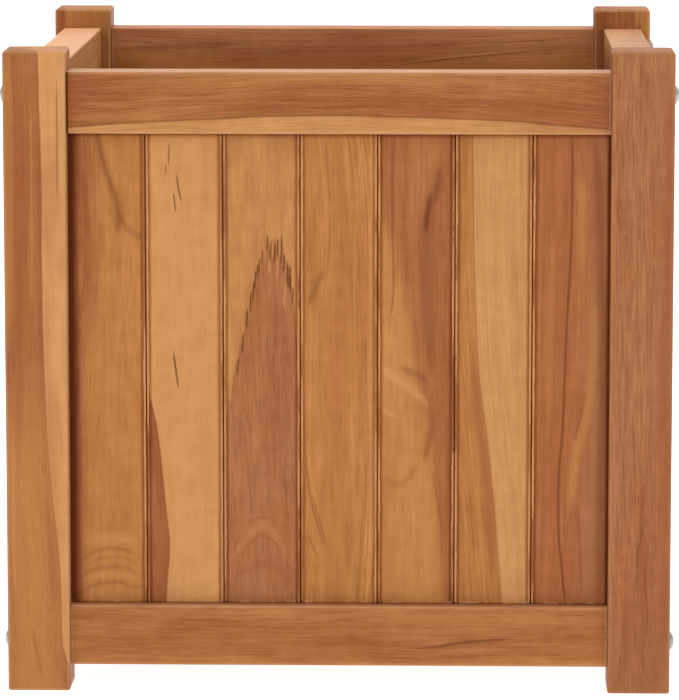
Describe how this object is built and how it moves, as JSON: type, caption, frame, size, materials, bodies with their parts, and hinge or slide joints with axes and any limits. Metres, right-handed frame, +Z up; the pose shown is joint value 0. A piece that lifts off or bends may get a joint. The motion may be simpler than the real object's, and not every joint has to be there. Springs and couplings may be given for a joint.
{
  "type": "square planter",
  "caption": "Square hardwood planter on corner posts, with framed sides of bevelled upright slats and a lift-out slatted base.",
  "frame": {"origin": "on the ground under the middle of the planter", "axes": "+X to the right and +Y to the rear as seen from the front, +Z up"},
  "size_m": [0.406, 0.4, 0.388],
  "materials": {
    "post_wood": "oiled",
    "rail_wood": "oiled",
    "slat_wood": "oiled",
    "base_wood": "sawn",
    "dowel_wood": "turned",
    "bolt_steel": "satin",
    "nut_zinc": "zinc plated",
    "screw_steel": "satin"
  },
  "bodies": {
    "frame": {"cleat_screws": "screw_steel", "frame_bolts": "bolt_steel", "front_bottom_rail": "rail_wood", "front_left_post": "post_wood", "front_right_post": "post_wood", "front_slat_1": "slat_wood", "front_slat_2": "slat_wood", "front_slat_3": "slat_wood", "front_slat_4": "slat_wood", "front_slat_5": "slat_wood", "front_slat_6": "slat_wood", "front_slat_7": "slat_wood", "front_top_rail": "rail_wood", "insert_nuts": "nut_zinc", "left_bottom_rail": "rail_wood", "left_cleat": "base_wood", "left_slat_1": "slat_wood", "left_slat_2": "slat_wood", "left_slat_3": "slat_wood", "left_slat_4": "slat_wood", "left_slat_5": "slat_wood", "left_slat_6": "slat_wood", "left_slat_7": "slat_wood", "left_top_rail": "rail_wood", "locating_dowels": "dowel_wood", "rear_bottom_rail": "rail_wood", "rear_left_post": "post_wood", "rear_right_post": "post_wood", "rear_slat_1": "slat_wood", "rear_slat_2": "slat_wood", "rear_slat_3": "slat_wood", "rear_slat_4": "slat_wood", "rear_slat_5": "slat_wood", "rear_slat_6": "slat_wood", "rear_slat_7": "slat_wood", "rear_top_rail": "rail_wood", "right_bottom_rail": "rail_wood", "right_cleat": "base_wood", "right_slat_1": "slat_wood", "right_slat_2": "slat_wood", "right_slat_3": "slat_wood", "right_slat_4": "slat_wood", "right_slat_5": "slat_wood", "right_slat_6": "slat_wood", "right_slat_7": "slat_wood", "right_top_rail": "rail_wood"},
    "base": {"base_board_1": "base_wood", "base_board_2": "base_wood", "base_board_3": "base_wood", "base_board_4": "base_wood", "base_board_5": "base_wood", "base_board_6": "base_wood", "base_screws": "screw_steel", "left_batten": "base_wood", "right_batten": "base_wood"}
  },
  "joints": [
    {"name": "base_lift", "type": "slide", "parent": "frame", "child": "base", "axis": [0, 0, 1], "range_m": [0, 0.38]}
  ]
}
